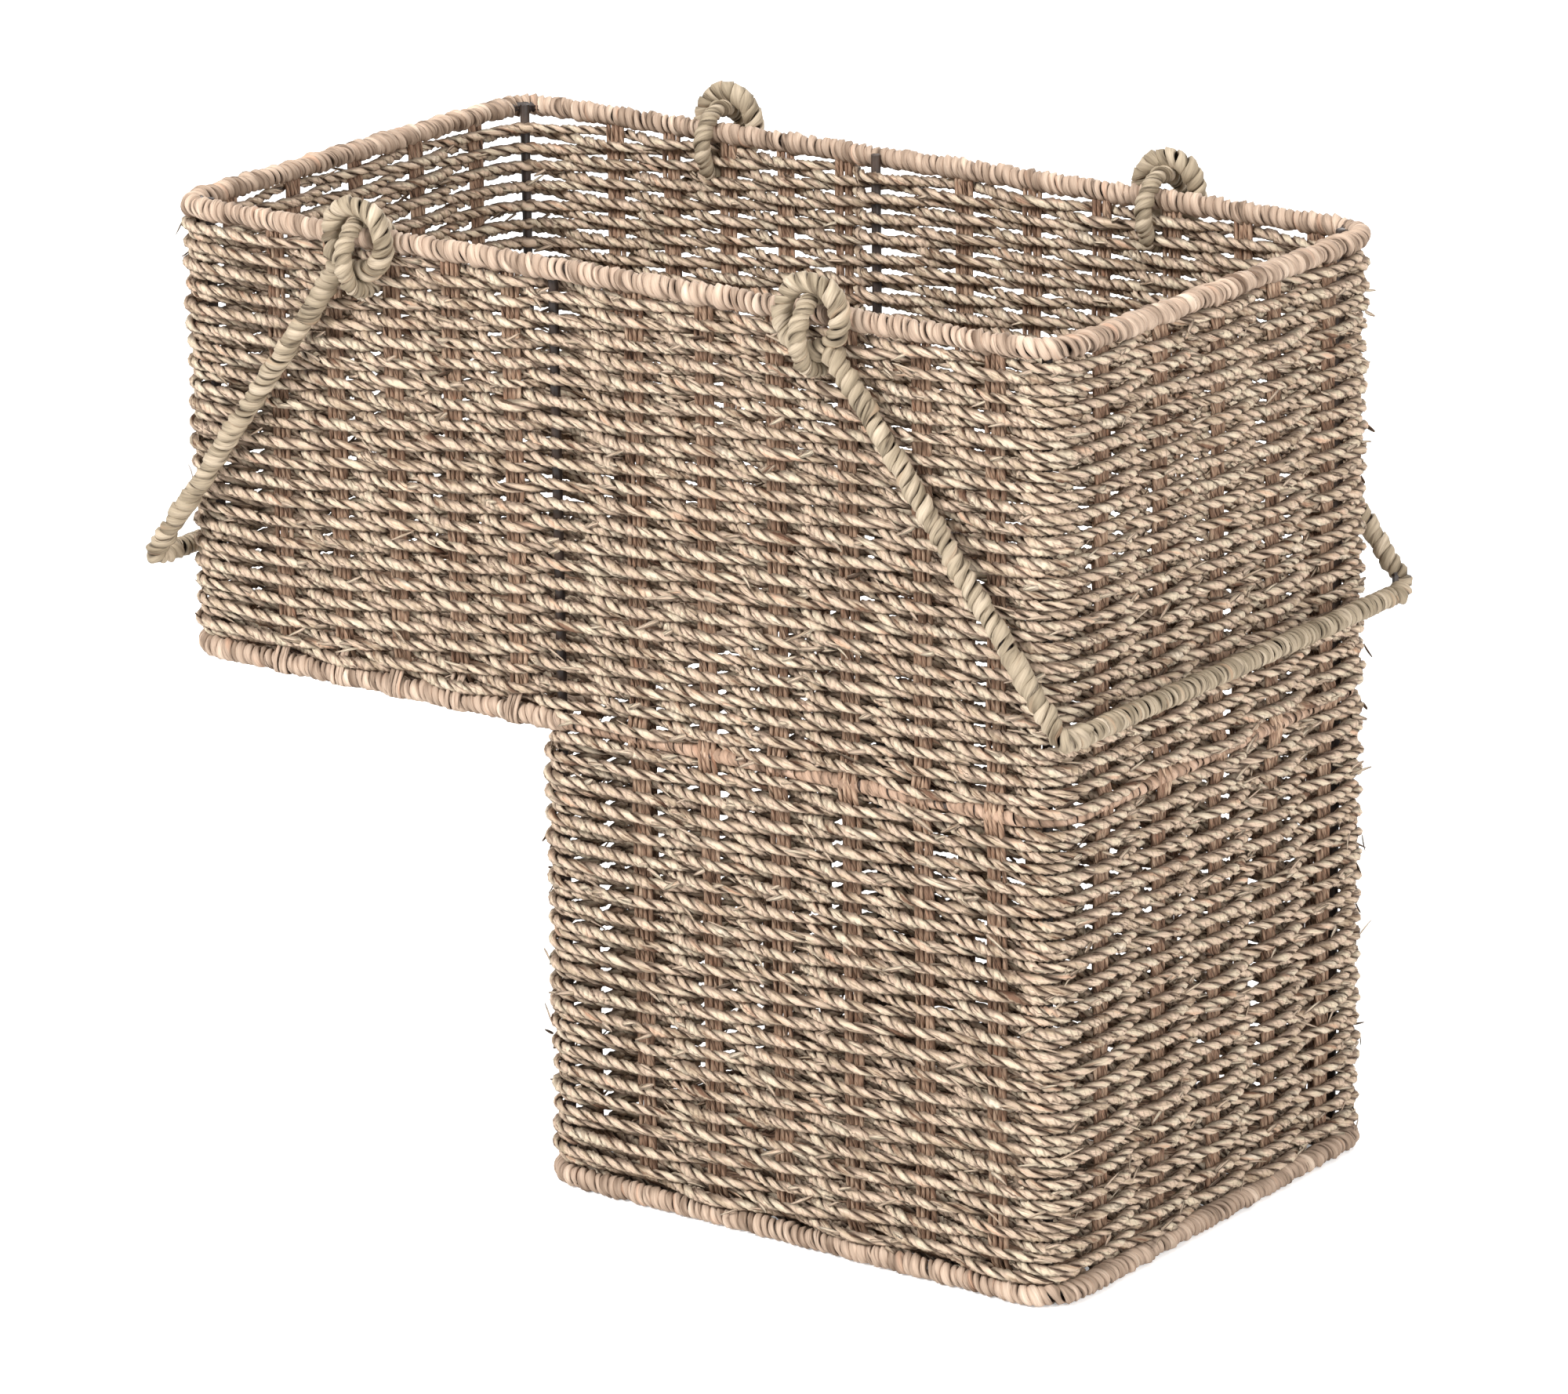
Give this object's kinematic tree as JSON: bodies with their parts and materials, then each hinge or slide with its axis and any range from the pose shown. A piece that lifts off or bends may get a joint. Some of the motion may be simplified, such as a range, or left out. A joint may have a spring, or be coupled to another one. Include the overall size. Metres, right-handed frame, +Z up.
{
  "type": "stair basket",
  "caption": "Woven seagrass laundry basket shaped to sit on two stair treads, on a welded wire frame, with two swinging wrapped bail handles.",
  "frame": {"origin": "on the floor under the middle of the rim", "axes": "+X from the step towards the deep end, +Y from the front to the back, +Z up"},
  "size_m": [0.4518, 0.2658, 0.3939],
  "materials": {
    "frame_wire": "satin",
    "rim_cord": "matte",
    "handle_cord": "matte",
    "stake_cord": "matte",
    "seagrass_rope": "matte"
  },
  "bodies": {
    "basket": {"base_binding": "rim_cord", "base_cross_stakes": "stake_cord", "base_wire": "frame_wire", "hanger_rings_left": "rim_cord", "hanger_rings_right": "rim_cord", "left_corner_posts": "frame_wire", "left_end_stakes": "stake_cord", "right_corner_posts": "frame_wire", "right_end_stakes": "stake_cord", "rim_binding": "rim_cord", "rim_wire": "frame_wire", "riser_posts": "frame_wire", "step_binding": "rim_cord", "step_cross_stakes": "stake_cord", "step_crossbar_binding": "rim_cord", "step_crossbar_wire": "frame_wire", "step_wire": "frame_wire", "weave_back_lower": "seagrass_rope", "weave_back_upper": "seagrass_rope", "weave_base_floor": "seagrass_rope", "weave_corner_back_left": "seagrass_rope", "weave_corner_back_right": "seagrass_rope", "weave_corner_back_riser": "seagrass_rope", "weave_corner_front_left": "seagrass_rope", "weave_corner_front_right": "seagrass_rope", "weave_corner_front_riser": "seagrass_rope", "weave_front_lower": "seagrass_rope", "weave_front_upper": "seagrass_rope", "weave_left_end": "seagrass_rope", "weave_right_end": "seagrass_rope", "weave_riser": "seagrass_rope", "weave_step_floor": "seagrass_rope"},
    "handle_right": {"handle_right_arm_back": "handle_cord", "handle_right_arm_front": "handle_cord", "handle_right_grip": "handle_cord", "handle_right_wire": "frame_wire"},
    "handle_left": {"handle_left_arm_back": "handle_cord", "handle_left_arm_front": "handle_cord", "handle_left_grip": "handle_cord", "handle_left_wire": "frame_wire"}
  },
  "joints": [
    {"name": "handle_right_swing", "type": "hinge", "parent": "basket", "child": "handle_right", "pos_m": [0.109, 0, 0.37805], "axis": [0, -1, 0], "range_deg": [0, 176]},
    {"name": "handle_left_swing", "type": "hinge", "parent": "basket", "child": "handle_left", "pos_m": [-0.109, 0, 0.37805], "axis": [0, 1, 0], "range_deg": [0, 176]}
  ]
}
